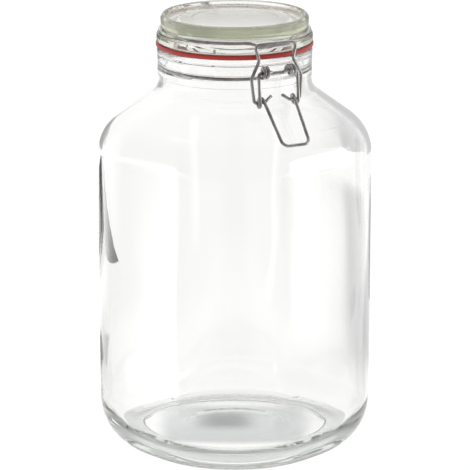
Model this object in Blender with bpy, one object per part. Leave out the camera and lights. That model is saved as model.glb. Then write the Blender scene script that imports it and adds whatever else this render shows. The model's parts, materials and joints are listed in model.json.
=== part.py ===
"""Five litre preserving jar with a wire clasp: soft square glass body, glass lid, rubber ring and wire bail.

Metres, +Z up, the base on z = 0. The clasp faces -Y and the lid's hinge is at +Y, so every joint turns
about a line along X. The body is a soft square turned about Z against that mechanism. Places on the clasp
are written as (across, out, up): across is along +X, out is the distance from the jar's axis towards -Y.
"""

import math

import bmesh
import bpy
import numpy as np
from mathutils import Matrix, Vector

# Body: a soft square that becomes a circle at the neck and at the base ring
BODY_HALF = 0.0825
BODY_CORNER = 0.058
BODY_TURN = math.radians(16.5)
WALL = 0.0036
BASE_RING = 0.0698
BASE_RING_INNER = 0.063
PUNT_RISE = 0.0035
HEEL_RISE = 0.0312
FLOOR = 0.0085
FLOOR_CROWN = 0.0015
FLOOR_RADIUS = 0.0635

# Shoulder: a convex round, a straight cone and a hollow round into the neck
SHOULDER_BASE = 0.2024
SHOULDER_ROUND = 0.0316
CONE_SLOPE = math.radians(36)
NECK_BASE = 0.2538
NECK_ROUND = 0.011
NECK = 0.0517
NECK_WALL = 0.0043

# Neck finish, from the bottom up
BAND_EDGE = 0.2565
BAND_STEP = 0.0003
GROOVE_LOW = 0.2609
GROOVE_HIGH = 0.2649
GROOVE_FLOOR = 0.0493
GROOVE_SIDE = 0.0009
LIP_EDGE = 0.2704
LIP = 0.0522
LIP_STEP = 0.0004
LIP_BULGE = 0.0009
LIP_TOP = 0.2756
LIP_ROUND = 0.0009

# Rubber ring, held between lip and lid
GAP = 0.0003
GASKET = 0.05285
GASKET_INNER = 0.0466
GASKET_THICK = 0.0030
GASKET_ROUND = 0.0010

# Lid
LID_TOP = 0.2975
LID_RIM = 0.0498
LID_RIM_ROUND = 0.0016
LID_RECESS = 0.0451
LID_RECESS_DEPTH = 0.0022
LID_RIM_INNER = 0.0471
LID_STEP = 0.0371
LID_STEP_DEPTH = 0.0006
LID_RIM_SIDE = 0.2919
LID_RIM_FOOT = 0.2885
LID_GROOVE_FLOOR = 0.0488
LID_FLANGE = 0.0526
LID_FLANGE_TOP = 0.2854
LID_FLANGE_ROUND = 0.0026
LID_PLUG = 0.0462
LID_PLUG_INNER = 0.0415
LID_PLUG_FOOT = 0.2733
LID_PLUG_BEVEL = 0.0008
LID_HOLLOW = ((0.0401, 0.2862), (0.0371, 0.2892))

# Wires
WIRE = 0.0011
NECK_WIRE_RING = 0.0508
NECK_WIRE_UP = 0.2629
LID_WIRE_RING = 0.0503
LID_WIRE_UP = 0.2869
TURN_PITCH = 0.0026

# Pivots, as (out, up) in the clasp's plane; the hinge is behind the jar, so its out is negative
LEVER_PIVOT = (0.0595, 0.2686)
LINK_PIVOT = (0.0584, 0.2488)
HINGE = (-0.0583, LID_WIRE_UP - 0.00275)
CATCH = (0.0543, 0.2852)
LINK_TOP = (0.0563, 0.2869)

# Neck wire. Angles are in degrees, from outward through up in a coil and from the clasp round to the hinge in a ring
COIL_ROUND = 0.0033
COIL_START = 0.0075
COIL_TURNS = 1.74
COIL_FIRST = 175
BAR_LEAVE = 30
BAR_END = 0.0054
NECK_RING_START = 27
NECK_RING_END = 164
NECK_LEAVE = (0.0006, -0.0060, -0.0010)
NECK_ARRIVE = 0.0080
HINGE_POST = 0.0140
HINGE_POST_ROUNDS = [0.0018, 0.0025, 0.0025]
# How far a curve leans towards the corner that it rounds
BEND_PULL = 0.7

# Lid wire
CATCH_HALF = 0.0098
CATCH_LEAVE = (0.0034, 0.0, 0.0008)
CATCH_ARRIVE = 0.0040
LID_RING_START = 21
LID_RING_SHORT = 3
LID_EYE_ROUND = 0.00275
LID_EYE_START = 0.0080
LID_EYE_FIRST = 90
LID_EYE_SWEEP = 400
LID_ARM_ROUND = 0.0020

# Lever and its finger loop
LEVER_END = 0.0042
LEVER_ARM = 0.0144
LEVER_ROUND = 0.0022
LEVER_EYE_ROUND = 0.0030
LEVER_EYE_ALONG = -0.0029
HANDLE_TIP = (0.0848, 0.2246)
HANDLE_HALF = 0.0098
HANDLE_ROUND = 0.0045

# Link, as (across, out, up) from its waist to its cut ends, with the bend at each inner corner
LINK_TOP_HALF = 0.0158
LINK_WAIST = (0.0125, 0.0569, 0.2765)
LINK_SHOULDER = (0.0187, 0.0574, 0.2650)
LINK_FOOT = (0.0171, 0.0092)
LINK_END = (0.0039, 0.0576, 0.2525)
LINK_ROUNDS = [0.0030, 0.0040, 0.0050, 0.0022, 0.0016]

QUARTER_STEPS = 10
TURNED_STEPS = 48
OUTER_ROUNDS = 8
DOME_SHARES = (0.4, 0.8)
LIP_STEPS = 4
SHARP_ANGLE = math.radians(35)
ARC_STEP = math.radians(24)
RING_STEP = math.radians(9)


def clear_scene():
    for old in list(bpy.data.objects):
        bpy.data.objects.remove(old, do_unlink=True)


def make_material(name, colour, roughness, metallic=0.0, transmission=0.0, ior=1.45):
    material = bpy.data.materials.new(name)
    material.use_nodes = True
    shader = material.node_tree.nodes["Principled BSDF"]
    shader.inputs["Base Color"].default_value = (*colour, 1.0)
    shader.inputs["Roughness"].default_value = roughness
    shader.inputs["Metallic"].default_value = metallic
    shader.inputs["Transmission Weight"].default_value = transmission
    shader.inputs["IOR"].default_value = ior
    material.diffuse_color = (*colour, 1.0)
    return material


def add_object(name, data, material, pivot=(0.0, 0.0, 0.0), parent=None):
    """Puts data, which is in world coordinates, on an object whose origin is at pivot."""
    obj = bpy.data.objects.new(name, data)
    bpy.context.scene.collection.objects.link(obj)
    data.materials.append(material)
    data.transform(Matrix.Translation(-Vector(pivot)))
    if isinstance(data, bpy.types.Mesh):
        data.shade_smooth()
        data.set_sharp_from_angle(angle=SHARP_ANGLE)
    obj.location = pivot
    if parent:
        obj.parent = parent
        obj.location = Vector(pivot) - parent.matrix_world.translation
    bpy.context.view_layer.update()
    return obj


# Surfaces made of rings


def circle(radius, up, steps=TURNED_STEPS):
    turn = np.arange(steps) * 2 * math.pi / steps
    return np.column_stack([radius * np.cos(turn), radius * np.sin(turn), np.full(steps, up)])


def soft_square(half, corner, up):
    """A ring of four flats and four round corners, turned with the body. half == corner gives a circle."""
    turn = np.linspace(0, math.pi / 2, QUARTER_STEPS + 1)
    quarters = []
    for quarter in range(4):
        start = quarter * math.pi / 2 + BODY_TURN
        centre = (half - corner) * math.sqrt(2)
        middle = start + math.pi / 4
        x = centre * math.cos(middle) + corner * np.cos(start + turn)
        y = centre * math.sin(middle) + corner * np.sin(start + turn)
        quarters.append(np.column_stack([x, y, np.full(len(turn), up)]))
    return np.concatenate(quarters)


def spread(amount, up, radius, half, corner):
    """A ring between a circle (amount 0) and the body's soft square (amount 1)."""
    return soft_square(radius + (half - radius) * amount, radius + (corner - radius) * amount, up)


def corner_reach(half, corner):
    """How far a soft square reaches from the axis along its diagonal."""
    return (half - corner) * math.sqrt(2) + corner


def skin(rings, closed=False):
    """Joins rings of equal count by quads. A ring of one point is a pole; closed joins the last to the first."""
    mesh = bmesh.new()
    made = [[mesh.verts.new(point) for point in np.atleast_2d(ring)] for ring in rings]
    pairs = list(zip(made, made[1:] + made[:1])) if closed else list(zip(made, made[1:]))
    for lower, upper in pairs:
        count = max(len(lower), len(upper))
        for i in range(count):
            j = (i + 1) % count
            corners = [lower[i % len(lower)], lower[j % len(lower)], upper[j % len(upper)], upper[i % len(upper)]]
            mesh.faces.new(list(dict.fromkeys(corners)))
    bmesh.ops.recalc_face_normals(mesh, faces=mesh.faces)
    data = bpy.data.meshes.new("skin")
    mesh.to_mesh(data)
    mesh.free()
    return data


def arc(centre, radius, start, end, steps):
    """Points (out, up) on a circle, with start and end angles in degrees from the outward direction."""
    turn = np.radians(np.linspace(start, end, steps + 1))
    return list(zip(centre[0] + radius * np.cos(turn), centre[1] + radius * np.sin(turn)))


# Jar body


def shoulder_rings(wall, neck_wall, rounds):
    """Rings from the wall's top to the neck's foot, for a surface that lies wall inside the outer one."""
    neck = NECK - neck_wall
    half, corner = BODY_HALF - wall, BODY_CORNER - wall
    reach = corner_reach(half, corner)
    tilt = math.pi / 2 - CONE_SLOPE
    convex, hollow = SHOULDER_ROUND - wall, NECK_ROUND + wall
    foot = NECK_BASE + (neck_wall - wall) * math.tan(CONE_SLOPE)
    path = [
        (reach - convex + convex * math.cos(turn), SHOULDER_BASE + convex * math.sin(turn))
        for turn in np.linspace(0, tilt, rounds)
    ]
    path += [
        (neck + hollow - hollow * math.cos(turn), foot - hollow * math.sin(turn))
        for turn in np.linspace(tilt, 0, rounds - 2)
    ]
    return [spread((out - neck) / (reach - neck), up, neck, half, corner) for out, up in path]


def heel_rings(low, radius, wall, rounds):
    """Rings of a quarter ellipse in section, from a low circle out to the wall's foot."""
    half, corner = BODY_HALF - wall, BODY_CORNER - wall
    rings = []
    for turn in np.linspace(0, math.pi / 2, rounds):
        amount = math.sin(turn)
        up = low + (HEEL_RISE - low) * (1 - math.cos(turn))
        rings.append(spread(amount, up, radius, half, corner))
    return rings


def dome_rings(up, radius, rise):
    """Rings of a flat dome that rises from a circle, from near its middle outwards."""
    return [soft_square(radius * share, radius * share, up + rise * (1 - share**2)) for share in DOME_SHARES]


def neck_finish():
    """(radius, up) of the neck outside, from the shoulder to the lip, then over it and down into the mouth."""
    band = NECK + BAND_STEP
    mouth = NECK - NECK_WALL
    outline = [
        (NECK, BAND_EDGE - BAND_STEP),
        (band, BAND_EDGE),
        (band, GROOVE_LOW),
        (GROOVE_FLOOR, GROOVE_LOW + GROOVE_SIDE),
        (GROOVE_FLOOR, GROOVE_HIGH - GROOVE_SIDE),
        (band, GROOVE_HIGH),
        (band, LIP_EDGE),
    ]
    low_out, low_up = band - LIP_BULGE / 2, LIP_EDGE + LIP_STEP
    high_out = LIP - LIP_BULGE
    for rise in np.linspace(0, 1, LIP_STEPS + 1):
        bulge = 4 * LIP_BULGE * rise * (1 - rise)
        outline.append((low_out + (high_out - low_out) * rise + bulge, low_up + (LIP_TOP - low_up) * rise))
    return outline + [(mouth + LIP_ROUND, LIP_TOP), (mouth, LIP_TOP - LIP_ROUND)]


def make_jar():
    outside = [np.array([(0.0, 0.0, PUNT_RISE)])]
    outside += dome_rings(0.0, BASE_RING_INNER, PUNT_RISE)
    outside.append(soft_square(BASE_RING_INNER, BASE_RING_INNER, 0.0))
    outside += heel_rings(0.0, BASE_RING, 0.0, OUTER_ROUNDS)
    outside += shoulder_rings(0.0, 0.0, OUTER_ROUNDS)
    finish = [soft_square(radius, radius, up) for radius, up in neck_finish()]
    inside = shoulder_rings(WALL, NECK_WALL, OUTER_ROUNDS - 1)[::-1]
    inside += heel_rings(FLOOR, FLOOR_RADIUS, WALL, OUTER_ROUNDS - 2)[::-1]
    inside += dome_rings(FLOOR, FLOOR_RADIUS, FLOOR_CROWN)[::-1]
    inside.append(np.array([(0.0, 0.0, FLOOR + FLOOR_CROWN)]))
    return skin(outside + finish + inside)


# Lid and rubber ring


def lid_profile():
    """(radius, up) from the middle of the top, over the rim, down the outside and back under the lid."""
    recess = LID_TOP - LID_RECESS_DEPTH
    sunk = recess - LID_STEP_DEPTH
    seat = LIP_TOP + 2 * GAP + GASKET_THICK
    rim_centre = (LID_RIM - LID_RIM_ROUND, LID_TOP - LID_RIM_ROUND)
    flange_centre = (LID_FLANGE - LID_FLANGE_ROUND, LID_FLANGE_TOP - LID_FLANGE_ROUND)
    profile = [(0.0, sunk), (LID_STEP - LID_STEP_DEPTH, sunk), (LID_STEP, recess), (LID_RECESS, recess)]
    profile.append((LID_RIM_INNER, LID_TOP))
    profile += arc(rim_centre, LID_RIM_ROUND, 90, 0, 3)
    profile += [(LID_RIM, LID_RIM_SIDE), (LID_GROOVE_FLOOR, LID_RIM_FOOT), (LID_GROOVE_FLOOR, LID_FLANGE_TOP)]
    profile += arc(flange_centre, LID_FLANGE_ROUND, 90, 0, 3)
    profile += [(LID_FLANGE, seat), (LID_PLUG, seat), (LID_PLUG, LID_PLUG_FOOT + LID_PLUG_BEVEL)]
    profile += [(LID_PLUG - LID_PLUG_BEVEL, LID_PLUG_FOOT), (LID_PLUG_INNER, LID_PLUG_FOOT)]
    profile += LID_HOLLOW
    profile.append((0.0, LID_HOLLOW[-1][1]))
    return profile


def make_lid():
    profile = lid_profile()
    rings = [circle(radius, up) for radius, up in profile[1:-1]]
    return skin([np.array([(0, 0, profile[0][1])])] + rings + [np.array([(0, 0, profile[-1][1])])])


def make_gasket():
    low = LIP_TOP + GAP
    high = low + GASKET_THICK
    edge = GASKET - GASKET_ROUND
    section = [(GASKET_INNER, low), (edge, low)]
    section += arc((edge, low + GASKET_ROUND), GASKET_ROUND, -45, 0, 1)
    section += arc((edge, high - GASKET_ROUND), GASKET_ROUND, 0, 45, 1)
    section += [(edge, high), (GASKET_INNER, high)]
    return skin([circle(radius, up) for radius, up in section], closed=True)


# Wires


def place(across, out, up):
    return Vector((across, -out, up))


def fillet(points, radii):
    """Points along straight runs between points, with each inner corner rounded to its radius."""
    path = [Vector(points[0])]
    for before, corner, after, radius in zip(points, points[1:], points[2:], radii):
        into = (Vector(corner) - Vector(before)).normalized()
        away = (Vector(after) - Vector(corner)).normalized()
        bend = into.angle(away)
        reach = radius * math.tan(bend / 2)
        start = Vector(corner) - into * reach
        centre = start + (away - into * into.dot(away)).normalized() * radius
        arm = start - centre
        steps = max(2, math.ceil(bend / ARC_STEP))
        for i in range(steps + 1):
            angle = bend * i / steps
            path.append(centre + arm * math.cos(angle) + into * radius * math.sin(angle))
    path.append(Vector(points[-1]))
    return path


def helix(pivot, radius, across, along, start, sweep):
    """Turns about a line along X through pivot (out, up). Angles in degrees run from outward through up."""
    steps = math.ceil(abs(math.radians(sweep)) / ARC_STEP)
    path = []
    for i in range(steps + 1):
        angle = math.radians(start + sweep * i / steps)
        path.append(
            place(
                across + along * i / steps,
                pivot[0] + radius * math.cos(angle),
                pivot[1] + radius * math.sin(angle),
            )
        )
    return path


def ring_arc(radius, up, start, end):
    """Points on a ring about the jar's axis, by azimuth in degrees from the clasp (0) to the hinge (180)."""
    steps = math.ceil(math.radians(end - start) / RING_STEP)
    turns = np.radians(np.linspace(start, end, steps + 1))
    return [Vector((radius * math.sin(turn), -radius * math.cos(turn), up)) for turn in turns]


def bezier(start, start_arm, end, end_arm, steps):
    """Inner points of a cubic curve that leaves start along start_arm and reaches end along end_arm."""
    first, last = start + start_arm, end - end_arm
    path = []
    for i in range(1, steps):
        t = i / steps
        s = 1 - t
        path.append(start * s**3 + first * 3 * s * s * t + last * 3 * s * t * t + end * t**3)
    return path


def both_sides(half):
    """A whole route from its +X half, which starts at the middle."""
    other = [Vector((-point.x, point.y, point.z)) for point in half]
    skip = 1 if abs(half[0].x) < 1e-9 else 0
    return other[::-1] + half[skip:]


def without_repeats(path, least=0.00015):
    kept = [path[0]]
    for point in path[1:]:
        if (point - kept[-1]).length > least:
            kept.append(point)
    return kept


def make_wire(path, cyclic=False):
    path = without_repeats(path)
    data = bpy.data.curves.new("wire", "CURVE")
    data.dimensions = "3D"
    data.bevel_depth = WIRE
    data.bevel_resolution = 2
    data.use_fill_caps = True
    spline = data.splines.new("POLY")
    spline.points.add(len(path) - 1)
    for point, co in zip(spline.points, path):
        point.co = (*co, 1.0)
    spline.use_cyclic_u = cyclic
    return data


def neck_wire_route():
    """Half of the neck wire: the bar between the coils, one coil, the ring in its groove, a hinge post."""
    bar_round = COIL_ROUND / math.cos(math.radians(BAR_LEAVE))
    bar_angle = math.radians(COIL_FIRST + BAR_LEAVE)
    bar = (LEVER_PIVOT[0] + bar_round * math.cos(bar_angle), LEVER_PIVOT[1] + bar_round * math.sin(bar_angle))
    sweep = -360 * COIL_TURNS
    coil = helix(LEVER_PIVOT, COIL_ROUND, COIL_START, TURN_PITCH * COIL_TURNS, COIL_FIRST, sweep)
    half = [place(0, *bar), place(BAR_END, *bar)]
    corner = place(COIL_START, *bar)
    half += bezier(half[-1], (corner - half[-1]) * BEND_PULL, coil[0], (coil[0] - corner) * BEND_PULL, 4)
    half += coil
    ring = ring_arc(NECK_WIRE_RING, NECK_WIRE_UP, NECK_RING_START, NECK_RING_END)
    heading = (ring[1] - ring[0]).normalized()
    half += bezier(coil[-1], place(*NECK_LEAVE), ring[0], heading * NECK_ARRIVE, 7)
    half += ring[:-1]
    corner_y = math.sqrt(NECK_WIRE_RING**2 - HINGE_POST**2)
    post = [
        ring[-2],
        Vector((HINGE_POST, corner_y, NECK_WIRE_UP)),
        place(HINGE_POST, HINGE[0], NECK_WIRE_UP),
        place(HINGE_POST, *HINGE),
        place(0, *HINGE),
    ]
    half += fillet(post, HINGE_POST_ROUNDS)[1:]
    return half


def make_neck_wire():
    half = without_repeats(neck_wire_route())
    other = [Vector((-point.x, point.y, point.z)) for point in half[1:-1]]
    return make_wire(half + other[::-1], cyclic=True)


def make_lid_wire():
    """The lid's ring in its groove, with the catch bent out in front and an eye on each hinge arm."""
    half = [place(0, *CATCH), place(CATCH_HALF, *CATCH)]
    arm_y = math.sqrt(LID_WIRE_RING**2 - LID_EYE_START**2)
    last = 180 - math.degrees(math.asin(LID_EYE_START / LID_WIRE_RING)) - LID_RING_SHORT
    ring = ring_arc(LID_WIRE_RING, LID_WIRE_UP, LID_RING_START, last)
    heading = (ring[1] - ring[0]).normalized()
    half += bezier(half[-1], Vector(CATCH_LEAVE), ring[0], heading * CATCH_ARRIVE, 7)
    half += ring[:-1]
    along = TURN_PITCH * LID_EYE_SWEEP / 360
    eye = helix(HINGE, LID_EYE_ROUND, LID_EYE_START, along, LID_EYE_FIRST, LID_EYE_SWEEP)
    half += fillet([ring[-1], Vector((LID_EYE_START, arm_y, LID_WIRE_UP)), eye[0]], [LID_ARM_ROUND])[:-1]
    half += eye
    return make_wire(both_sides(half))


def make_lever():
    """Pivot ends inside the coils, arms down to an eye each side, and the finger loop."""
    apart = math.dist(LEVER_PIVOT, LINK_PIVOT)
    towards = math.degrees(math.atan2(LEVER_PIVOT[1] - LINK_PIVOT[1], LEVER_PIVOT[0] - LINK_PIVOT[0]))
    eye_start = towards - math.degrees(math.acos(LEVER_EYE_ROUND / apart))
    run = (HANDLE_TIP[0] - LINK_PIVOT[0], HANDLE_TIP[1] - LINK_PIVOT[1])
    reach = math.hypot(*run)
    eye_end = math.degrees(math.atan2(run[1], run[0])) + math.degrees(math.acos(LEVER_EYE_ROUND / reach))
    sweep = (eye_end - 360) - eye_start
    eye = helix(LINK_PIVOT, LEVER_EYE_ROUND, LEVER_ARM, LEVER_EYE_ALONG, eye_start, sweep)
    half = fillet([place(LEVER_END, *LEVER_PIVOT), place(LEVER_ARM, *LEVER_PIVOT), eye[0]], [LEVER_ROUND])[:-1]
    half += eye
    tip = [eye[-1], place(HANDLE_HALF, *HANDLE_TIP), place(0, *HANDLE_TIP)]
    half += fillet(tip, [HANDLE_ROUND])[1:]
    return make_wire(both_sides(half[::-1]))


def make_link():
    """The loop that hooks over the catch: bar, waist, shoulders round the coils, and ends in the eyes."""
    corners = [place(0, *LINK_TOP), place(LINK_TOP_HALF, *LINK_TOP), place(*LINK_WAIST), place(*LINK_SHOULDER)]
    corners += [place(across, *LINK_PIVOT) for across in LINK_FOOT]
    corners.append(place(*LINK_END))
    return make_wire(both_sides(fillet(corners, LINK_ROUNDS)))


def main():
    clear_scene()
    glass = make_material("clear_glass", (0.93, 0.96, 0.94), 0.02, transmission=1.0, ior=1.5)
    rubber = make_material("red_rubber", (0.72, 0.10, 0.07), 0.45)
    steel = make_material("bright_wire", (0.62, 0.62, 0.61), 0.22, metallic=1.0)

    hinge = bpy.data.objects.new("lid_hinge", None)
    hinge.location = place(0, *HINGE)
    bpy.context.scene.collection.objects.link(hinge)
    bpy.context.view_layer.update()

    add_object("jar_glass", make_jar(), glass)
    add_object("neck_wire", make_neck_wire(), steel)
    add_object("lid_glass", make_lid(), glass, place(0, *HINGE), hinge)
    add_object("gasket", make_gasket(), rubber, place(0, *HINGE), hinge)
    add_object("lid_wire", make_lid_wire(), steel, place(0, *HINGE), hinge)
    lever = add_object("lever_wire", make_lever(), steel, place(0, *LEVER_PIVOT))
    add_object("link_wire", make_link(), steel, place(0, *LINK_PIVOT), lever)


main()
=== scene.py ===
# A tall preserving jar in its finished looks: clear glass, hinged lid, red rubber ring, steel wire clasp
import json
import math

import bpy
import numpy as np
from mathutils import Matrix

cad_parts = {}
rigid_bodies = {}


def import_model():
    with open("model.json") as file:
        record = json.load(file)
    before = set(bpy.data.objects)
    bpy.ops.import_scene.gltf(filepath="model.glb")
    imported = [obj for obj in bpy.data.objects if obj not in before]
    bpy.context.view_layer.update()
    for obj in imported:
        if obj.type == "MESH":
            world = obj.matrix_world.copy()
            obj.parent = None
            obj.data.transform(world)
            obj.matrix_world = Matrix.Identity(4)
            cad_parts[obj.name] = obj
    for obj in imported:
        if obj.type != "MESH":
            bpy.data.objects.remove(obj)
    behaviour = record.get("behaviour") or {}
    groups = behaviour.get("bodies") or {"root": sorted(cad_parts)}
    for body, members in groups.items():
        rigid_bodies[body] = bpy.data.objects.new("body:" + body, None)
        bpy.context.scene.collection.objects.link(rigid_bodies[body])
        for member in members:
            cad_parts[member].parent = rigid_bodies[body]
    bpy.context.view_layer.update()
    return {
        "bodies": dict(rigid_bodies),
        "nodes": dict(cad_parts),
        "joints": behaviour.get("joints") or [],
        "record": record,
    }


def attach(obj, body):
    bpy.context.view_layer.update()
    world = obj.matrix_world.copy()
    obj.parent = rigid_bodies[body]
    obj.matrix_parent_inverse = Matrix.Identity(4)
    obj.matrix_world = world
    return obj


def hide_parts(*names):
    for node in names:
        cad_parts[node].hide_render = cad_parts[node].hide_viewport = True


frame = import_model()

# Shapes as grids of points


def gridFaces(rows, columns, wrapRows=False):
    # One quad between each pair of neighbouring rows and columns. Columns always close on themselves
    row = np.arange(rows if wrapRows else rows - 1)[:, None]
    column = np.arange(columns)[None, :]
    nextRow, nextColumn = (row + 1) % rows, (column + 1) % columns
    corners = [
        row * columns + column,
        row * columns + nextColumn,
        nextRow * columns + nextColumn,
        nextRow * columns + column,
    ]
    return np.stack(np.broadcast_arrays(*corners), axis=-1).reshape(-1, 4)


def poleFaces(pole, first, columns, atEnd):
    # A fan of triangles between one point and a ring
    column = np.arange(columns)
    ring, nextRing = first + column, first + (column + 1) % columns
    fan = [np.full(columns, pole), nextRing, ring] if not atEnd else [np.full(columns, pole), ring, nextRing]
    return np.stack(fan, axis=-1)


def facesOutward(points, quads):
    # The signed volume under the quads, split in triangles and summed, is positive when they face out
    a, b, c, d = (points[quads[:, i]] for i in range(4))
    return (np.cross(b - a, c - a) * a).sum() + (np.cross(c - a, d - a) * a).sum() > 0


def makePiece(name, grid, startPole=None, endPole=None, wrapRows=False):
    rows, columns = grid.shape[:2]
    points = grid.reshape(-1, 3)
    quads = gridFaces(rows, columns, wrapRows)
    flip = not facesOutward(points, quads)
    fans = []
    for pole, atEnd in ((startPole, False), (endPole, True)):
        if pole is not None:
            points = np.vstack([points, pole])
            first = (rows - 1) * columns if atEnd else 0
            fans.append(poleFaces(len(points) - 1, first, columns, atEnd))
    faces = [part[:, ::-1] if flip else part for part in [quads] + fans]
    mesh = bpy.data.meshes.new(name)
    mesh.from_pydata(points.tolist(), [], [face for part in faces for face in part.tolist()])
    mesh.validate()
    mesh.shade_smooth()
    piece = bpy.data.objects.new(name, mesh)
    bpy.context.scene.collection.objects.link(piece)
    return piece


def arcPoints(centre, radius, start, end, steps):
    # Points (out, up) on a circle from start to end, in degrees from the outward direction
    turn = np.radians(np.linspace(start, end, steps + 1))
    return np.column_stack([centre[0] + radius * np.cos(turn), centre[1] + radius * np.sin(turn)])


def roundCorners(corners, radius, steps=6):
    # An outline (out, up) whose inner corners become arcs, each touching both sides at radius * tan(bend / 2)
    corners = np.asarray(corners, float)
    outline = [corners[:1]]
    for before, corner, after in zip(corners, corners[1:], corners[2:]):
        into, away = corner - before, after - corner
        lengthIn, lengthOut = np.linalg.norm(into), np.linalg.norm(away)
        into, away = into / lengthIn, away / lengthOut
        bend = math.acos(float(np.clip(into @ away, -1, 1)))
        if bend < 0.02:
            outline.append(corner[None])
            continue
        reach = min(radius * math.tan(bend / 2), lengthIn * 0.48, lengthOut * 0.48)
        turn = np.linspace(0, bend, steps + 1)[:, None]
        fitted = reach / math.tan(bend / 2)
        side = (away - into * (into @ away)) / math.sin(bend)
        start = corner - into * reach
        outline.append(start + side * fitted * (1 - np.cos(turn)) + into * fitted * np.sin(turn))
    outline.append(corners[-1:])
    return np.vstack(outline)


def turned(outline, around):
    # An outline (out, up) turned about the jar's axis: x = out cos t, y = out sin t, z = up
    turn = np.arange(around) * 2 * math.pi / around
    out, up = outline[:, :1], outline[:, 1:]
    return np.stack([out * np.cos(turn), out * np.sin(turn), up + 0 * turn], axis=-1)


# Jar body

jar = {
    "half": 0.0825,
    "corner": 0.058,
    "turn": math.radians(16.5),
    "wall": 0.0036,
    "baseRing": 0.0698,
    "baseRingInner": 0.063,
    "puntRise": 0.0035,
    "puntStep": 0.0013,
    "puntSwell": 0.00035,
    "puntSwellAt": 0.62,
    "puntSwellWidth": 0.09,
    "puntShares": (0.03, 0.965, 40),
    "puntEdge": (0.96, 0.98),
    "bearingSlope": (0.002, 0.0004),
    "bearingRound": 0.0012,
    "heelRise": 0.0312,
    "floor": 0.0085,
    "floorCrown": 0.0015,
    "floorRadius": 0.0635,
    "floorShares": (0.97, 0.05, 18),
    "shoulderBase": 0.2024,
    "shoulderRound": 0.0316,
    "coneSlope": math.radians(36),
    "neckBase": 0.2538,
    "neckRound": 0.011,
    "neck": 0.0517,
    "neckWall": 0.0043,
    "waveHeight": 0.00022,
    "waves": ((1, 2, 21, 0.6), (0.7, 3, -34, 2.1), (0.5, 5, 47, 4.0)),
    "waveFade": (0.03, 0.04),
    "stippleTop": 0.0042,
    "around": 200,
    "heelSteps": 26,
    "shoulderSteps": 34,
    "outerWallSteps": 40,
    "innerWallSteps": 60,
}
finish = {
    "bandEdge": 0.2565,
    "bandStep": 0.0003,
    "grooveLow": 0.2609,
    "grooveHigh": 0.2649,
    "grooveFloor": 0.0493,
    "grooveSide": 0.0009,
    "lipEdge": 0.2704,
    "lip": 0.0522,
    "lipStep": 0.0004,
    "lipBulge": 0.0009,
    "lipTop": 0.2756,
    "lipSteps": 14,
    "mouthFoot": 0.2578,
    "edgeRound": 0.0009,
}


def softSquares(levels):
    # Each level (half, corner, up) is a ring of four flats and four round corners, cut at even angles.
    # Where a ray from the axis meets a flat it is half / cos long. Elsewhere it ends on the corner's circle,
    # whose centre lies half - corner out along both flats
    angle = np.arange(jar["around"]) * 2 * math.pi / jar["around"]
    fromFlat = np.abs((angle + math.pi / 4) % (math.pi / 2) - math.pi / 4)
    half, corner, up = (levels[:, i, None] for i in range(3))
    centre = half - corner
    along = centre * (np.cos(fromFlat) + np.sin(fromFlat))
    onCorner = along + np.sqrt(np.maximum(along**2 - 2 * centre**2 + corner**2, 0))
    onFlat = half / np.cos(fromFlat)
    reach = np.where(half * np.tan(fromFlat) <= centre, onFlat, onCorner)
    turn = angle + jar["turn"]
    away = np.column_stack([np.cos(turn), np.sin(turn)])
    height = np.broadcast_to(up[..., None], reach.shape + (1,))
    return np.concatenate([reach[..., None] * away, height], axis=-1), away


def circles(outline):
    return np.column_stack([outline[:, 0], outline[:, 0], outline[:, 1]])


def shoulderLevels(wall, neckWall, steps):
    # A convex round, a straight cone and a hollow round, from the wall's top to the neck
    neck = jar["neck"] - neckWall
    half, corner = jar["half"] - wall, jar["corner"] - wall
    reach = (half - corner) * math.sqrt(2) + corner
    tilt = 90 - math.degrees(jar["coneSlope"])
    convex, hollow = jar["shoulderRound"] - wall, jar["neckRound"] + wall
    foot = jar["neckBase"] + (neckWall - wall) * math.tan(jar["coneSlope"])
    path = np.vstack(
        [
            arcPoints((reach - convex, jar["shoulderBase"]), convex, 0, tilt, steps),
            arcPoints((neck + hollow, foot), hollow, 180 + tilt, 180, steps // 2),
        ]
    )
    amount = (path[:, 0] - neck) / (reach - neck)
    return np.column_stack([neck + (half - neck) * amount, neck + (corner - neck) * amount, path[:, 1]])


def heelLevels(low, radius, wall, steps):
    # A quarter ellipse in section, from a low circle out to the wall's soft square
    half, corner = jar["half"] - wall, jar["corner"] - wall
    turn = np.linspace(0, math.pi / 2, steps + 1)
    amount, rise = np.sin(turn), 1 - np.cos(turn)
    up = low + (jar["heelRise"] - low) * rise
    return np.column_stack([radius + (half - radius) * amount, radius + (corner - radius) * amount, up])


def wallLevels(low, high, count):
    # Evenly spaced levels between two levels, both ends left out
    share = np.linspace(0, 1, count + 2)[1:-1, None]
    return low + (high - low) * share


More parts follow.
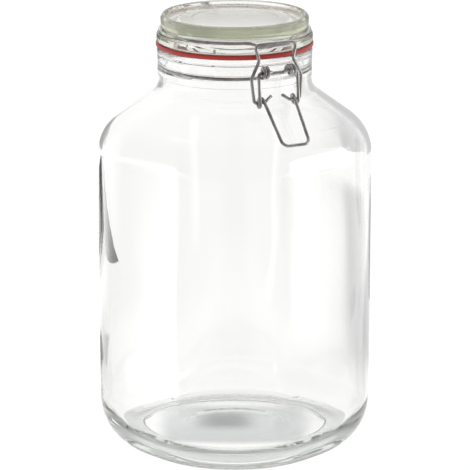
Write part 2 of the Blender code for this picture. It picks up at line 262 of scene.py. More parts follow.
def neckOutline():
    band = jar["neck"] + finish["bandStep"]
    mouth = jar["neck"] - jar["neckWall"]
    side = finish["grooveSide"]
    outer = [
        (jar["neck"], jar["neckBase"]),
        (jar["neck"], finish["bandEdge"] - finish["bandStep"]),
        (band, finish["bandEdge"]),
        (band, finish["grooveLow"]),
        (finish["grooveFloor"], finish["grooveLow"] + side),
        (finish["grooveFloor"], finish["grooveHigh"] - side),
        (band, finish["grooveHigh"]),
        (band, finish["lipEdge"]),
        (band - finish["lipBulge"] / 2, finish["lipEdge"] + finish["lipStep"]),
    ]
    inner = [
        (finish["lip"] - finish["lipBulge"], finish["lipTop"]),
        (mouth, finish["lipTop"]),
        (mouth, finish["mouthFoot"]),
        (mouth, jar["neckBase"]),
    ]
    # The lip's outside is one shallow arc between its lower and upper edge
    rise = np.linspace(0, 1, finish["lipSteps"] + 1)[:, None]
    low, high = np.array(outer[-1]), np.array(inner[0])
    bulge = np.array([finish["lipBulge"], 0]) * 4 * rise * (1 - rise)
    lip = low + (high - low) * rise + bulge
    below, above = (roundCorners(corners, finish["edgeRound"])[1:-1] for corners in (outer, inner))
    return np.vstack([below, lip, above])


def unevenInside(grid, away, lowest):
    # Blown glass is never even: slow waves move the inner wall in and out, and fade out at neck and floor.
    # Each wave is (strength, waves round the jar, turn for each metre up, turn at the start)
    x, y, z = grid[..., 0], grid[..., 1], grid[..., 2]
    around = np.arctan2(y, x)
    swell = sum(
        strength * np.sin(count * around + climb * z + start)
        for strength, count, climb, start in jar["waves"]
    )
    above, below = jar["waveFade"]
    fade = np.clip((z - lowest) / above, 0, 1) * np.clip((jar["neckBase"] - z) / below, 0, 1)
    grid[..., :2] += (jar["waveHeight"] * swell * fade)[..., None] * away
    return grid


def markPressed(piece, inside):
    # One where the mould or the press left the glass rough, nothing elsewhere
    piece.data.attributes.new("pressed", "FLOAT", "POINT").data.foreach_set("value", inside.astype(float))


def makeJar():
    inner = jar["baseRingInner"]
    # The hollow under the base is a low dome with one shallow swelling half way out and a step at its edge
    share = np.linspace(*jar["puntShares"])[:, None]
    swell = jar["puntSwell"] * np.exp(-(((share - jar["puntSwellAt"]) / jar["puntSwellWidth"]) ** 2))
    dome = jar["puntStep"] + (jar["puntRise"] - jar["puntStep"]) * (1 - share**2)
    punt = np.hstack([inner * share, inner * share, dome - swell])
    edge = [
        *((inner * part, jar["puntStep"]) for part in jar["puntEdge"]),
        (inner, 0),
        (jar["baseRing"], 0),
        (jar["baseRing"] + jar["bearingSlope"][0], jar["bearingSlope"][1]),
    ]
    ring = circles(roundCorners(edge, jar["bearingRound"])[1:-1])
    heel = heelLevels(0, jar["baseRing"], 0, jar["heelSteps"])[1:]
    shoulder = shoulderLevels(0, 0, jar["shoulderSteps"])
    walls = wallLevels(heel[-1], shoulder[0], jar["outerWallSteps"])
    mouth = circles(neckOutline())
    innerShoulder = shoulderLevels(jar["wall"], jar["neckWall"], jar["shoulderSteps"])[::-1]
    innerHeel = heelLevels(jar["floor"], jar["floorRadius"], jar["wall"], jar["heelSteps"])[::-1]
    innerWalls = wallLevels(innerShoulder[-1], innerHeel[0], jar["innerWallSteps"])
    share = np.linspace(*jar["floorShares"])[:, None]
    radius = jar["floorRadius"]
    floor = np.hstack([radius * share, radius * share, jar["floor"] + jar["floorCrown"] * (1 - share**2)])
    outside = np.vstack([punt, ring, heel, walls, shoulder, mouth])
    inside = np.vstack([innerShoulder, innerWalls, innerHeel, floor])
    outGrid, _ = softSquares(outside)
    inGrid, away = softSquares(inside)
    inGrid = unevenInside(inGrid, away, jar["floor"])
    grid = np.concatenate([outGrid, inGrid])
    piece = makePiece(
        "jarBody", grid, startPole=(0, 0, jar["puntRise"]), endPole=(0, 0, jar["floor"] + jar["floorCrown"])
    )
    # The bearing edge is stippled all round, which lets out light that would run round the heel for ever
    x, y, z = np.array([v.co for v in piece.data.vertices]).T
    markPressed(piece, (z < jar["stippleTop"]) & (np.hypot(x, y) > inner - 0.0001))
    return piece


# Lid and rubber ring

lid = {
    "top": 0.2975,
    "rim": 0.0498,
    "rimBevel": (0.0016, 0.0022),
    "recess": 0.0451,
    "recessDepth": 0.0022,
    "recessBevel": (0.0011, 0.0014),
    "recessEdge": 0.0020,
    "steps": (0.0371, 0.0292),
    "stepDepth": 0.0005,
    "stepSlope": 0.001,
    "rimSide": 0.2919,
    "rimFoot": 0.2885,
    "grooveFloor": 0.0488,
    "flange": 0.0526,
    "flangeTop": 0.2854,
    "flangeBevel": (0.0004, 0.0026),
    "seat": 0.2792,
    "under": 0.2892,
    "plug": 0.0462,
    "plugInner": 0.0415,
    "plugFoot": 0.2733,
    "hollowBevel": (0.0014, 0.003),
    "hollowEdge": 0.0044,
    "pole": 0.0005,
    "pressedDepth": 0.002,
    "edgeRound": 0.0015,
    "edgeSteps": 7,
    "around": 192,
}
ring = {"outer": 0.05285, "inner": 0.0466, "low": 0.2759, "high": 0.2789, "edgeRound": 0.0010, "around": 192}


def makeLid():
    recess = lid["top"] - lid["recessDepth"]
    first, second = lid["steps"]
    middle, centre = recess - lid["stepDepth"], recess - 2 * lid["stepDepth"]
    recessBevel, rimBevel, flangeBevel, hollowBevel = (
        lid[name] for name in ("recessBevel", "rimBevel", "flangeBevel", "hollowBevel")
    )
    corners = [
        (lid["pole"], centre),
        (second - lid["stepSlope"], centre),
        (second, middle),
        (first - lid["stepSlope"], middle),
        (first, recess),
        (lid["recess"], recess),
        (lid["recess"] + recessBevel[0], recess + recessBevel[1]),
        (lid["recess"] + lid["recessEdge"], lid["top"]),
        (lid["rim"] - rimBevel[0], lid["top"]),
        (lid["rim"], lid["top"] - rimBevel[1]),
        (lid["rim"], lid["rimSide"]),
        (lid["grooveFloor"], lid["rimFoot"]),
        (lid["grooveFloor"], lid["flangeTop"]),
        (lid["flange"] - flangeBevel[0], lid["flangeTop"]),
        (lid["flange"], lid["flangeTop"] - flangeBevel[1]),
        (lid["flange"], lid["seat"]),
        (lid["plug"], lid["seat"]),
        (lid["plug"], lid["plugFoot"]),
        (lid["plugInner"], lid["plugFoot"]),
        (lid["plugInner"] - hollowBevel[0], lid["under"] - hollowBevel[1]),
        (lid["plugInner"] - lid["hollowEdge"], lid["under"]),
        (lid["pole"], lid["under"]),
    ]
    grid = turned(roundCorners(corners, lid["edgeRound"], lid["edgeSteps"]), lid["around"])
    piece = makePiece("lidGlass", grid, startPole=(0, 0, centre), endPole=(0, 0, lid["under"]))
    # The sunk underside is as the press left it, a little rough, so what lies behind it shows blurred
    x, y, z = np.array([v.co for v in piece.data.vertices]).T
    markPressed(piece, (np.hypot(x, y) < lid["plugInner"]) & (np.abs(z - lid["under"]) < lid["pressedDepth"]))
    return piece


def makeRing():
    # The outline starts and ends in the middle of the underside
    middle = (ring["inner"] + ring["outer"]) / 2
    corners = [
        (middle, ring["low"]),
        (ring["outer"], ring["low"]),
        (ring["outer"], ring["high"]),
        (ring["inner"], ring["high"]),
        (ring["inner"], ring["low"]),
        (middle - 0.0001, ring["low"]),
    ]
    grid = turned(roundCorners(corners, ring["edgeRound"]), ring["around"])
    return makePiece("rubberRing", grid, wrapRows=True)


# Wires, each a round bar along a path

# Places are (out, up) from the jar's axis, and directions are (across, out, up). Out points towards the clasp
wire = {
    "radius": 0.0011,
    "sides": 16,
    "bendStep": math.radians(6),
    "ringStep": 3,
    "cutRound": 0.00025,
    "cutSize": 0.78,
    "pitch": 0.0026,
    "leverPivot": (0.0595, 0.2686),
    "linkPivot": (0.0584, 0.2488),
    "hinge": (-0.0583, 0.28415),
}
neckWire = {
    "ring": 0.0508,
    "up": 0.2629,
    "ringStart": 27,
    "ringEnd": 164,
    "coilRound": 0.0033,
    "coilStart": 0.0075,
    "coilTurns": 1.74,
    "coilFirst": 175,
    "barLeave": 30,
    "barEnd": 0.0021,
    "barPull": 0.7,
    "leave": (0.0006, -0.0060, -0.0010),
    "arrive": 0.0080,
    "hingePost": 0.0140,
    "hingePostRounds": (0.0018, 0.0025, 0.0025),
}
lidWire = {
    "ring": 0.0503,
    "up": 0.2869,
    "ringStart": 21,
    "ringGap": 3,
    "catch": (0.0543, 0.2852),
    "catchHalf": 0.0098,
    "catchLeave": (0.0034, 0, 0.0008),
    "catchArrive": 0.0040,
    "eyeStart": 0.0080,
    "eyeRound": 0.00275,
    "eyeFirst": 90,
    "eyeSweep": 400,
    "eyeTurns": 1.11,
    "eyeBend": 0.0020,
}
leverWire = {
    "arm": 0.0144,
    "armEnd": 0.0042,
    "armRound": 0.0022,
    "eyeRound": 0.0030,
    "eyeWidth": -0.0029,
    "handleTip": (0.0848, 0.2246),
    "handleHalf": 0.0098,
    "handleRound": 0.0045,
}
linkWire = {
    "topHalf": 0.0158,
    "top": (0.0563, 0.2869),
    "waistHalf": 0.0125,
    "waist": (0.0569, 0.2765),
    "bellyHalf": 0.0187,
    "belly": (0.0574, 0.2650),
    "eyeHalf": 0.0171,
    "eyeEnd": 0.0092,
    "tipHalf": 0.0039,
    "tipRise": (-0.0008, 0.0037),
    "rounds": (0.0030, 0.0040, 0.0050, 0.0022, 0.0016),
}


def place(across, out, up):
    return np.array([across, -out, up])


def unit(vector):
    return vector / np.linalg.norm(vector)


def bends(points, radii):
    # Straight runs between points, with each inner corner an arc of its radius
    path = [points[0][None]]
    for before, corner, after, radius in zip(points, points[1:], points[2:], radii):
        into, away = unit(corner - before), unit(after - corner)
        bend = math.acos(float(np.clip(into @ away, -1, 1)))
        side = (away - into * (into @ away)) / math.sin(bend)
        start = corner - into * radius * math.tan(bend / 2)
        turn = np.linspace(0, bend, max(3, math.ceil(bend / wire["bendStep"])) + 1)[:, None]
        path.append(start + side * radius * (1 - np.cos(turn)) + into * radius * np.sin(turn))
    path.append(points[-1][None])
    return np.vstack(path)


def helix(pivot, radius, across, along, start, sweep):
    # Turns about a line along X: the angle runs evenly from start by sweep degrees while x moves by along
    share = np.linspace(0, 1, math.ceil(abs(math.radians(sweep)) / wire["bendStep"]) + 1)
    angle = np.radians(start + sweep * share)
    return np.column_stack(
        [across + along * share, -(pivot[0] + radius * np.cos(angle)), pivot[1] + radius * np.sin(angle)]
    )


def ringArc(radius, up, start, end):
    # Part of a ring about the jar's axis, from the clasp (0 degrees) towards the hinge (180)
    turn = np.radians(np.linspace(start, end, math.ceil((end - start) / wire["ringStep"]) + 1))
    return np.column_stack([radius * np.sin(turn), -radius * np.cos(turn), np.full(len(turn), up)])


def cubic(start, startArm, end, endArm, steps=18):
    # Inner points of the cubic curve that leaves start along startArm and reaches end along endArm
    t = np.linspace(0, 1, steps + 1)[1:-1, None]
    s = 1 - t
    return start * s**3 + (start + startArm) * 3 * s * s * t + (end - endArm) * 3 * s * t * t + end * t**3


def mirrored(half, closed=False):
    # The whole path from its +X half. Its first point, and its last if it closes, lies on the middle plane
    other = half * [-1, 1, 1]
    return np.vstack([half, other[-2:0:-1]]) if closed else np.vstack([other[::-1], half[1:]])


def spaced(path, closed, least=0.0001):
    # Drops points that nearly repeat the one before
    gaps = np.linalg.norm(np.diff(path, axis=0), axis=1)
    keep = np.concatenate([[True], gaps > least])
    if closed and np.linalg.norm(path[0] - path[-1]) < least:
        keep[-1] = False
    return path[keep]


def sweep(path, closed):
    # A circle square to the path at each point. Each frame is the one before, turned by the bend between
    # them, and on a closed path the leftover twist is spread along the whole length
    radius, sides = wire["radius"], wire["sides"]
    before, after = np.roll(path, 1, axis=0), np.roll(path, -1, axis=0)
    if not closed:
        before[0], after[-1] = path[0], path[-1]
    into, away = path - before, after - path
    lengths = [np.maximum(np.linalg.norm(step, axis=1, keepdims=True), 1e-9) for step in (into, away)]
    tangent = into / lengths[0] + away / lengths[1]
    tangent /= np.linalg.norm(tangent, axis=1, keepdims=True)
    frame = np.empty_like(path)
    anyOther = [0.31, 0.17, 0.93]
    frame[0] = unit(np.cross(tangent[0], anyOther))
    for i in range(1, len(path)):
        carried = frame[i - 1] - tangent[i] * (frame[i - 1] @ tangent[i])
        frame[i] = unit(carried)
    other = np.cross(tangent, frame)
    twist = np.zeros(len(path))
    if closed:
        carried = unit(frame[-1] - tangent[0] * (frame[-1] @ tangent[0]))
        left = math.atan2(float(carried @ other[0]), float(carried @ frame[0]))
        twist = -left * np.arange(len(path)) / len(path)
    turn = np.arange(sides) * 2 * math.pi / sides + twist[:, None]
    around = np.cos(turn)[..., None] * frame[:, None] + np.sin(turn)[..., None] * other[:, None]
    return path[:, None] + radius * around


def wirePiece(name, path, closed=False):
    path = spaced(path, closed)
    cut = wire["cutRound"]
    if not closed:
        # The cut ends are slightly rounded: short steps in, then smaller circles
        first, last = unit(path[1] - path[0]), unit(path[-1] - path[-2])
        path = np.vstack([path[0], path[0] + first * cut, path[1:-1], path[-1] - last * cut, path[-1]])
    grid = sweep(path, closed)
    if not closed:
        for i in (0, -1):
            grid[i] = path[i] + (grid[i] - path[i]) * wire["cutSize"]
    ends = {} if closed else {"startPole": path[0], "endPole": path[-1]}
    return makePiece(name, grid, wrapRows=closed, **ends)


def makeNeckWire():
    # The bar between the coils starts on a tangent of each, so it lies a little outside their circle
    pivot, start, turns = wire["leverPivot"], neckWire["coilStart"], neckWire["coilTurns"]
    barRound = neckWire["coilRound"] / math.cos(math.radians(neckWire["barLeave"]))
    barAngle = math.radians(neckWire["coilFirst"] + neckWire["barLeave"])
    bar = (pivot[0] + barRound * math.cos(barAngle), pivot[1] + barRound * math.sin(barAngle))
    coil = helix(
        pivot, neckWire["coilRound"], start, wire["pitch"] * turns, neckWire["coilFirst"], -360 * turns
    )
    barEnd, corner, pull = place(start - neckWire["barEnd"], *bar), place(start, *bar), neckWire["barPull"]
    around = ringArc(neckWire["ring"], neckWire["up"], neckWire["ringStart"], neckWire["ringEnd"])
    heading = unit(around[1] - around[0])
    post = neckWire["hingePost"]
    posts = [
        around[-2],
        np.array([post, math.sqrt(neckWire["ring"] ** 2 - post**2), neckWire["up"]]),
        place(post, wire["hinge"][0], neckWire["up"]),
        place(post, *wire["hinge"]),
        place(0, *wire["hinge"]),
    ]
    half = np.vstack(
        [
            place(0, *bar),
            barEnd,
            cubic(barEnd, (corner - barEnd) * pull, coil[0], (coil[0] - corner) * pull),
            coil,
            cubic(coil[-1], place(*neckWire["leave"]), around[0], heading * neckWire["arrive"]),
            around[:-1],
            bends(posts, neckWire["hingePostRounds"])[1:],
        ]
    )
    return wirePiece("neckWire", mirrored(half, closed=True), closed=True)


def makeLidWire():
    start = lidWire["eyeStart"]
    last = 180 - math.degrees(math.asin(start / lidWire["ring"])) - lidWire["ringGap"]
    around = ringArc(lidWire["ring"], lidWire["up"], lidWire["ringStart"], last)
    heading = unit(around[1] - around[0])
    catchEnd = place(lidWire["catchHalf"], *lidWire["catch"])
    width = wire["pitch"] * lidWire["eyeTurns"]
    eye = helix(wire["hinge"], lidWire["eyeRound"], start, width, lidWire["eyeFirst"], lidWire["eyeSweep"])
    turnBack = np.array([start, math.sqrt(lidWire["ring"] ** 2 - start**2), lidWire["up"]])
    half = np.vstack(
        [
            place(0, *lidWire["catch"]),
            catchEnd,
            cubic(catchEnd, place(*lidWire["catchLeave"]), around[0], heading * lidWire["catchArrive"]),
            around[:-1],
            bends([around[-1], turnBack, eye[0]], [lidWire["eyeBend"]])[:-1],
            eye,
        ]
    )
    return wirePiece("lidWire", mirrored(half))


def makeLeverWire():
    pivot, eyeAt = wire["leverPivot"], wire["linkPivot"]
    tip, eyeRound, arm = leverWire["handleTip"], leverWire["eyeRound"], leverWire["arm"]
    towards = math.degrees(math.atan2(pivot[1] - eyeAt[1], pivot[0] - eyeAt[0]))
    eyeStart = towards - math.degrees(math.acos(eyeRound / math.dist(pivot, eyeAt)))
    run = (tip[0] - eyeAt[0], tip[1] - eyeAt[1])
    eyeEnd = math.degrees(math.atan2(run[1], run[0]) + math.acos(eyeRound / math.hypot(*run)))
    eye = helix(eyeAt, eyeRound, arm, leverWire["eyeWidth"], eyeStart, eyeEnd - 360 - eyeStart)
    toEye = [place(leverWire["armEnd"], *pivot), place(arm, *pivot), eye[0]]
    toTip = [eye[-1], place(leverWire["handleHalf"], *tip), place(0, *tip)]
    half = np.vstack(
        [bends(toEye, [leverWire["armRound"]])[:-1], eye, bends(toTip, [leverWire["handleRound"]])[1:]]
    )
    return wirePiece("leverWire", mirrored(half[::-1]))


def makeLinkWire():
    pivot, rise = wire["linkPivot"], linkWire["tipRise"]
    corners = [
        place(0, *linkWire["top"]),
        place(linkWire["topHalf"], *linkWire["top"]),
        place(linkWire["waistHalf"], *linkWire["waist"]),
        place(linkWire["bellyHalf"], *linkWire["belly"]),
        place(linkWire["eyeHalf"], *pivot),
        place(linkWire["eyeEnd"], *pivot),
        place(linkWire["tipHalf"], pivot[0] + rise[0], pivot[1] + rise[1]),
    ]
    return wirePiece("linkWire", mirrored(bends(corners, linkWire["rounds"])))


# Materials


def newMaterial(name):
    material = bpy.data.materials.new(name)
    material.use_nodes = True
    return material, material.node_tree.nodes, material.node_tree.links


def makeMottleGroup():
    # Slow blotches and fine grain from Object coordinates, for marks that no real surface is without
    group = bpy.data.node_groups.new("surfaceMottle", "ShaderNodeTree")
    for name, default in (("Blotch Scale", 20.0), ("Grain Scale", 400.0)):
        socket = group.interface.new_socket(name, in_out="INPUT", socket_type="NodeSocketFloat")
        socket.default_value = default
    for name in ("Blotch", "Grain"):
        group.interface.new_socket(name, in_out="OUTPUT", socket_type="NodeSocketFloat")
    nodes, links = group.nodes, group.links
    inputs, outputs = nodes.new("NodeGroupInput"), nodes.new("NodeGroupOutput")
    coords = nodes.new("ShaderNodeTexCoord")
    for scale, result, detail in (("Blotch Scale", "Blotch", 3.0), ("Grain Scale", "Grain", 2.0)):
        noise = nodes.new("ShaderNodeTexNoise")
        noise.inputs["Detail"].default_value = detail
        links.new(coords.outputs["Object"], noise.inputs["Vector"])
        links.new(inputs.outputs[scale], noise.inputs["Scale"])
        links.new(noise.outputs["Fac"], outputs.inputs[result])
    return group


def addMottle(nodes, blotchScale, grainScale=400.0):
    node = nodes.new("ShaderNodeGroup")
    node.node_tree = bpy.data.node_groups["surfaceMottle"]
    node.inputs["Blotch Scale"].default_value = blotchScale
    node.inputs["Grain Scale"].default_value = grainScale
    return node


def spread(nodes, links, source, low, high, fromLow=0.3, fromHigh=0.7):
    # A value that varies over the surface, stretched between low and high
    node = nodes.new("ShaderNodeMapRange")
    for name, value in (("From Min", fromLow), ("From Max", fromHigh), ("To Min", low), ("To Max", high)):
        node.inputs[name].default_value = value
    links.new(source, node.inputs["Value"])
    return node.outputs["Result"]


def blendColour(nodes, links, first, second, amount, shader):
    mix = nodes.new("ShaderNodeMix")
    mix.data_type = "RGBA"
    mix.inputs["A"].default_value, mix.inputs["B"].default_value = first, second
    links.new(amount, mix.inputs["Factor"])
    links.new(mix.outputs["Result"], shader.inputs["Base Color"])


glassLook = {
    "ior": 1.52,
    "wallTint": (0.99, 0.99, 0.99, 1),
    "rippleScale": 38.0,
    "ripple": 0.00006,
    "stippleScale": 700.0,
    "jar": {
        "tint": (0.62, 0.70, 0.62, 1),
        "density": 3.0,
        "pressed": 0.25,
        # Painted shade: the stippled bearing edge is tinted darker, standing in for the shade where the jar
        # meets the floor
        "roughPlaceTint": (0.86, 0.89, 0.88, 1),
        "beads": 0.00045,
    },
    "lid": {
        "tint": (0.62, 0.655, 0.44, 1),
        "density": 16.0,
        "pressed": 0.30,
        "roughPlaceTint": (1.0, 0.91, 0.885, 1),
        "beads": 0.00001,
    },
}


def makeGlass(name, depth):
    material, nodes, links = newMaterial(name)
    shader = nodes["Principled BSDF"]
    shader.inputs["IOR"].default_value = glassLook["ior"]
    shader.inputs["Transmission Weight"].default_value = 1.0
    pressed = nodes.new("ShaderNodeAttribute")
    pressed.attribute_name = "pressed"
    # The rough places take their own tint; on the jar's bearing edge this tint is painted shade
    blendColour(nodes, links, glassLook["wallTint"], depth["roughPlaceTint"], pressed.outputs["Fac"], shader)
    rough = spread(nodes, links, pressed.outputs["Fac"], 0.0, depth["pressed"], 0, 1)
    links.new(rough, shader.inputs["Roughness"])
    # Slow ripples all over, and on the rough places small beads: rounded cells whose height is 1 - distance
    mottle = addMottle(nodes, glassLook["rippleScale"])
    ripple = nodes.new("ShaderNodeBump")
    ripple.inputs["Distance"].default_value = glassLook["ripple"]
    links.new(mottle.outputs["Blotch"], ripple.inputs["Height"])
    beads = nodes.new("ShaderNodeTexVoronoi")
    beads.inputs["Scale"].default_value = glassLook["stippleScale"]
    links.new(nodes.new("ShaderNodeTexCoord").outputs["Object"], beads.inputs["Vector"])
    stipple = nodes.new("ShaderNodeBump")
    stipple.invert = True
    stipple.inputs["Distance"].default_value = depth["beads"]
    links.new(beads.outputs["Distance"], stipple.inputs["Height"])
    links.new(pressed.outputs["Fac"], stipple.inputs["Strength"])
    links.new(ripple.outputs["Normal"], stipple.inputs["Normal"])
    links.new(stipple.outputs["Normal"], shader.inputs["Normal"])
    absorb = nodes.new("ShaderNodeVolumeAbsorption")
    absorb.inputs["Color"].default_value = depth["tint"]
    absorb.inputs["Density"].default_value = depth["density"]
    links.new(absorb.outputs["Volume"], nodes["Material Output"].inputs["Volume"])
    return material


rubberLook = {
    "dark": (0.52, 0.030, 0.020, 1),
    "light": (0.68, 0.055, 0.040, 1),
    "blotches": 60.0,
    "grains": 900.0,
    "roughness": (0.38, 0.52),
    "grain": 0.00008,
    "grainStrength": 0.5,
}
steelLook = {
    "dark": (0.34, 0.325, 0.31, 1),
    "light": (0.64, 0.63, 0.615, 1),
    "blotches": 140.0,
    "grains": 1500.0,
    "roughness": (0.03, 0.09),
    "grain": 0.00003,
    "grainStrength": 0.4,
}


def addGrain(nodes, links, look, grain, shader):
    links.new(spread(nodes, links, grain, *look["roughness"]), shader.inputs["Roughness"])
    bump = nodes.new("ShaderNodeBump")
    bump.inputs["Strength"].default_value = look["grainStrength"]
    bump.inputs["Distance"].default_value = look["grain"]
    links.new(grain, bump.inputs["Height"])
    links.new(bump.outputs["Normal"], shader.inputs["Normal"])


def makeRubber():
    material, nodes, links = newMaterial("redRubber")
    shader = nodes["Principled BSDF"]
    mottle = addMottle(nodes, rubberLook["blotches"], rubberLook["grains"])
    blendColour(nodes, links, rubberLook["dark"], rubberLook["light"], mottle.outputs["Blotch"], shader)
    addGrain(nodes, links, rubberLook, mottle.outputs["Grain"], shader)
    return material


def makeSteel():
    material, nodes, links = newMaterial("drawnSteel")
    shader = nodes["Principled BSDF"]
    shader.inputs["Metallic"].default_value = 1.0
    mottle = addMottle(nodes, steelLook["blotches"], steelLook["grains"])
    blotches = spread(nodes, links, mottle.outputs["Blotch"], 0, 1)
    blendColour(nodes, links, steelLook["dark"], steelLook["light"], blotches, shader)
    addGrain(nodes, links, steelLook, mottle.outputs["Grain"], shader)
    return material


# Studio

# The focal length and the place of the jar's axis are in pixels of the frame
camera = {
    "azimuth": math.radians(-28.5),
    "distance": 1.8956,
    "height": 0.6633,
    "pitch": math.radians(15.333),
    "focal": 2880.6,
    "frame": 470,
    "axisAt": 234.6,
    "sensor": 36.0,
    "clip": (0.05, 60),
}


def addCamera():
    data = bpy.data.cameras.new("camera")
    data.sensor_width = camera["sensor"]
    data.lens = camera["focal"] / camera["frame"] * data.sensor_width
    data.shift_x = (camera["frame"] / 2 - camera["axisAt"]) / camera["frame"]
    data.clip_start, data.clip_end = camera["clip"]
    obj = bpy.data.objects.new("camera", data)
    a = camera["azimuth"]
    obj.location = (camera["distance"] * math.sin(a), -camera["distance"] * math.cos(a), camera["height"])
    obj.rotation_euler = (math.pi / 2 - camera["pitch"], 0, a)
    bpy.context.scene.collection.objects.link(obj)
    bpy.context.scene.camera = obj


studio = {
    "floorRadius": 7.0,
    "floorSides": 96,
    "floorDrop": 0.0002,
    "floorGlow": (1.0, 0.995, 0.985),
    "floorColour": (0.12, 0.12, 0.12),
    "floorRoughness": 0.9,
    "front": 0.28,
    "behind": 1.0,
    "frontEdge": (-0.3, 0.6),
    "bounces": 48,
    "cardLift": 0.0005,
    "cards": {
        "leftGlow": {
            "azimuth": -119, "out": 0.32, "across": (0.035, 0.125), "up": (0, 0.235),
            "glow": 2.2, "soft": (0.98, 0.4),
        },
        "leftPool": {
            "azimuth": -119, "ahead": (0.10, 0.50), "across": (0.03, 0.12),
            "glow": 1.9, "soft": (0.95, 0.6), "lift": 0.0006,
        },
        "leftShade": {
            "azimuth": -118.5, "ahead": (0.1, 1.5), "across": (-0.35, 1.2),
            "glow": 0.5, "soft": (0.4, 0.2), "lift": 0.0003,
        },
        "rightShade": {
            "azimuth": 61.5, "ahead": (0.1, 1.5), "across": (-1.2, 0.35),
            "glow": 0.5, "soft": (0.4, 0.2), "lift": 0.0003,
        },
        "rightGlow": {
            "azimuth": 58, "out": 0.9, "across": (-0.20, 0.20), "up": (0, 0.40),
            "glow": 2.4, "soft": (0.3, 0.2),
        },
        "rightColumn": {
            "azimuth": 58, "out": 0.32, "across": (-0.13, 0.02), "up": (-0.02, 0.20),
            "glow": 1.5, "soft": (0.9, 0.6),
        },
        "frontShade": {
            "azimuth": -28.5, "ahead": (0.1, 3.6), "across": (-1.3, 1.3),
            "glow": 0.28, "soft": (0.7, 0.2),
        },
        "farShade": {
            "azimuth": -28.5, "ahead": (0.9, 9.4), "across": (-7, 7),
            "glow": 0.28, "soft": (0.3, 0.12), "lift": 0.0006,
        },
        "farFlag": {
            "azimuth": 151.5, "out": 0.95, "across": (0.32, 0.90), "up": (0, 0.40),
            "glow": 0.4, "soft": (0.3, 0.3),
        },
        "upperFlag": {
            "azimuth": 151.5, "out": 0.43, "across": (0.136, 0.42), "up": (0.004, 0.078),
            "glow": 0.08, "soft": (0.05, 0.05), "taper": 0.9,
        },
        # Painted shade: a dark patch lying on the floor behind and left of the jar's foot, seen only through
        # the glass
        "lowerFloorShade": {
            "azimuth": 151.5, "ahead": (0.13, 0.24), "across": (0.12, 0.20),
            "glow": 0.25, "soft": (0.4, 0.4),
        },
        "baseShade": {
            "azimuth": -28.5, "ahead": (-0.056, 0.056), "across": (-0.056, 0.056),
            "glow": 0.60, "tint": (0.95, 1, 0.975, 1), "soft": (0.25, 0.3),
        },
        "spotShade": {
            "azimuth": -28.5, "ahead": (-0.046, 0.012), "across": (-0.036, 0.022),
            "glow": 0.13, "tint": (0.9, 1, 0.97, 1), "soft": (0.8, 0.8), "lift": 0.0003,
        },
        "rightBand": {
            "azimuth": 151.5, "ahead": (0.11, 0.75), "across": (-0.36, -0.06),
            "glow": 0.72, "soft": (0.5, 0.25),
        },
        "rightFlag": {
            "azimuth": 151.5, "out": 0.9, "across": (-0.78, -0.06), "up": (-0.05, 0.55),
            "glow": 0.62, "soft": (0.4, 0.2),
        },
    },
}


def addFloor():
    sides = studio["floorSides"]
    turn = np.arange(sides) * 2 * math.pi / sides
    edge = studio["floorRadius"] * np.stack([np.cos(turn), np.sin(turn), 0 * turn], axis=-1)
    mesh = bpy.data.meshes.new("floor")
    mesh.from_pydata(edge.tolist(), [], [list(range(sides))])
    floor = bpy.data.objects.new("floor", mesh)
    floor.location = (0, 0, -studio["floorDrop"])
    bpy.context.scene.collection.objects.link(floor)
    material, nodes, _ = newMaterial("paleFloor")
    shader = nodes["Principled BSDF"]
    shader.inputs["Base Color"].default_value = (*studio["floorColour"], 1)
    shader.inputs["Roughness"].default_value = studio["floorRoughness"]
    shader.inputs["Specular IOR Level"].default_value = 0.0
    shader.inputs["Emission Color"].default_value = (*studio["floorGlow"], 1)
    shader.inputs["Emission Strength"].default_value = 1.0
    mesh.materials.append(material)


def makeSoftEdgeGroup():
    # One inside a card that spans -1 to 1 both ways, falling smoothly to nothing at its border
    group = bpy.data.node_groups.new("softEdge", "ShaderNodeTree")
    for name in ("Edge X", "Edge Y"):
        group.interface.new_socket(name, in_out="INPUT", socket_type="NodeSocketFloat").default_value = 0.3
    group.interface.new_socket("Mask", in_out="OUTPUT", socket_type="NodeSocketFloat")
    nodes, links = group.nodes, group.links
    inputs, outputs = nodes.new("NodeGroupInput"), nodes.new("NodeGroupOutput")
    split = nodes.new("ShaderNodeSeparateXYZ")
    links.new(nodes.new("ShaderNodeTexCoord").outputs["Object"], split.inputs["Vector"])
    product = nodes.new("ShaderNodeMath")
    product.operation = "MULTIPLY"
    for i, axis in enumerate("XY"):
        size = nodes.new("ShaderNodeMath")
        size.operation = "ABSOLUTE"
        inner = nodes.new("ShaderNodeMath")
        inner.operation = "SUBTRACT"
        inner.inputs[0].default_value = 1.0
        ramp = nodes.new("ShaderNodeMapRange")
        ramp.interpolation_type = "SMOOTHSTEP"
        ramp.inputs["From Min"].default_value = 1.0
        ramp.inputs["To Min"].default_value, ramp.inputs["To Max"].default_value = 0.0, 1.0
        links.new(split.outputs[axis], size.inputs[0])
        links.new(inputs.outputs["Edge " + axis], inner.inputs[1])
        links.new(inner.outputs["Value"], ramp.inputs["From Max"])
        links.new(size.outputs["Value"], ramp.inputs["Value"])
        links.new(ramp.outputs["Result"], product.inputs[i])
    links.new(product.outputs["Value"], outputs.inputs["Mask"])
    return group


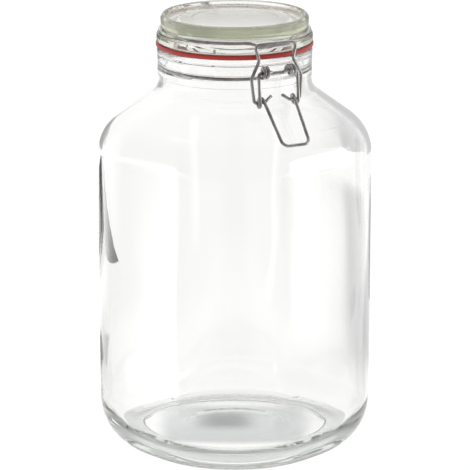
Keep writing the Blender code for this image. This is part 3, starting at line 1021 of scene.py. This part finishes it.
def addCard(name, card):
    # A card beside the jar, upright or flat on the floor, bright or dark, which only shows as it is bent and
    # mirrored in glass and wire. It spans -1 to 1 both ways, and a taper draws in one upper corner
    a = math.radians(card["azimuth"])
    left, right = card["across"]
    lies = "ahead" in card
    near, far = card["ahead"] if lies else card["up"]
    out, up = ((near + far) / 2, studio["cardLift"]) if lies else (card["out"], (near + far) / 2)
    up += card.get("lift", 0)
    mesh = bpy.data.meshes.new(name)
    corners = [(-1, -1, 0), (1, -1, 0), (1, 1, 0), (card.get("taper", 0) - 1, 1, 0)]
    mesh.from_pydata(corners, [], [(0, 1, 2, 3)])
    obj = bpy.data.objects.new(name, mesh)
    middle = (left + right) / 2
    obj.location = (out * math.sin(a) + middle * math.cos(a), -out * math.cos(a) + middle * math.sin(a), up)
    obj.rotation_euler = (0 if lies else math.pi / 2, 0, a)
    obj.scale = ((right - left) / 2, (far - near) / 2, 1)
    bpy.context.scene.collection.objects.link(obj)
    material, nodes, links = newMaterial(name + "Cloth")
    nodes.remove(nodes["Principled BSDF"])
    kinds = ("BsdfTransparent", "Emission", "MixShader")
    clear, glow, mix = (nodes.new("ShaderNode" + kind) for kind in kinds)
    glow.inputs["Strength"].default_value = card["glow"]
    glow.inputs["Color"].default_value = card.get("tint", (1, 1, 1, 1))
    edge = nodes.new("ShaderNodeGroup")
    edge.node_tree = bpy.data.node_groups["softEdge"]
    edge.inputs["Edge X"].default_value, edge.inputs["Edge Y"].default_value = card["soft"]
    links.new(edge.outputs["Mask"], mix.inputs["Fac"])
    links.new(clear.outputs["BSDF"], mix.inputs[1])
    links.new(glow.outputs["Emission"], mix.inputs[2])
    links.new(mix.outputs["Shader"], nodes["Material Output"].inputs["Surface"])
    mesh.materials.append(material)
    obj.visible_camera = obj.visible_shadow = obj.visible_diffuse = False


def addWorld():
    # White all round, and darker behind the camera
    world = bpy.data.worlds.new("studioWorld")
    world.use_nodes = True
    bpy.context.scene.world = world
    nodes, links = world.node_tree.nodes, world.node_tree.links
    nodes["Background"].inputs["Color"].default_value = (1, 1, 1, 1)
    coords = nodes.new("ShaderNodeTexCoord")
    facing = nodes.new("ShaderNodeVectorMath")
    facing.operation = "DOT_PRODUCT"
    a = camera["azimuth"]
    facing.inputs[1].default_value = (-math.sin(a), math.cos(a), 0.0)
    ramp = nodes.new("ShaderNodeMapRange")
    ramp.interpolation_type = "SMOOTHSTEP"
    ramp.inputs["From Min"].default_value, ramp.inputs["From Max"].default_value = studio["frontEdge"]
    ramp.inputs["To Min"].default_value = studio["front"]
    ramp.inputs["To Max"].default_value = studio["behind"]
    links.new(coords.outputs["Generated"], facing.inputs[0])
    links.new(facing.outputs["Value"], ramp.inputs["Value"])
    links.new(ramp.outputs["Result"], nodes["Background"].inputs["Strength"])


def main():
    print("stage: studio")
    addCamera()
    addFloor()
    addWorld()
    makeSoftEdgeGroup()
    for name, card in studio["cards"].items():
        addCard(name, card)

    print("stage: glass")
    makeMottleGroup()
    body, cover = makeJar(), makeLid()
    body.data.materials.append(makeGlass("clearGlassJar", glassLook["jar"]))
    cover.data.materials.append(makeGlass("clearGlassLid", glassLook["lid"]))

    print("stage: rubber and wire")
    rubber, steel = makeRubber(), makeSteel()
    seal = makeRing()
    seal.data.materials.append(rubber)
    wires = {
        "neck_wire": (makeNeckWire(), "jar"),
        "lid_wire": (makeLidWire(), "lid"),
        "lever_wire": (makeLeverWire(), "lever"),
        "link_wire": (makeLinkWire(), "link"),
    }
    for node, (piece, carrier) in wires.items():
        piece.data.materials.append(steel)
        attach(piece, carrier)
        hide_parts(node)
    for piece, carrier, node, slot in (
        (body, "jar", "jar_glass", "clear_glass"),
        (cover, "lid", "lid_glass", "clear_glass"),
        (seal, "lid", "gasket", "red_rubber"),
    ):
        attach(piece, carrier)
        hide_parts(node)

    bpy.context.scene.view_settings.view_transform = "Standard"
    # Light runs far along inside thick glass, and every path that stops early leaves a black mark
    cycles = bpy.context.scene.cycles
    cycles.max_bounces = cycles.transmission_bounces = cycles.glossy_bounces = studio["bounces"]
    cycles.caustics_refractive = cycles.caustics_reflective = True


main()
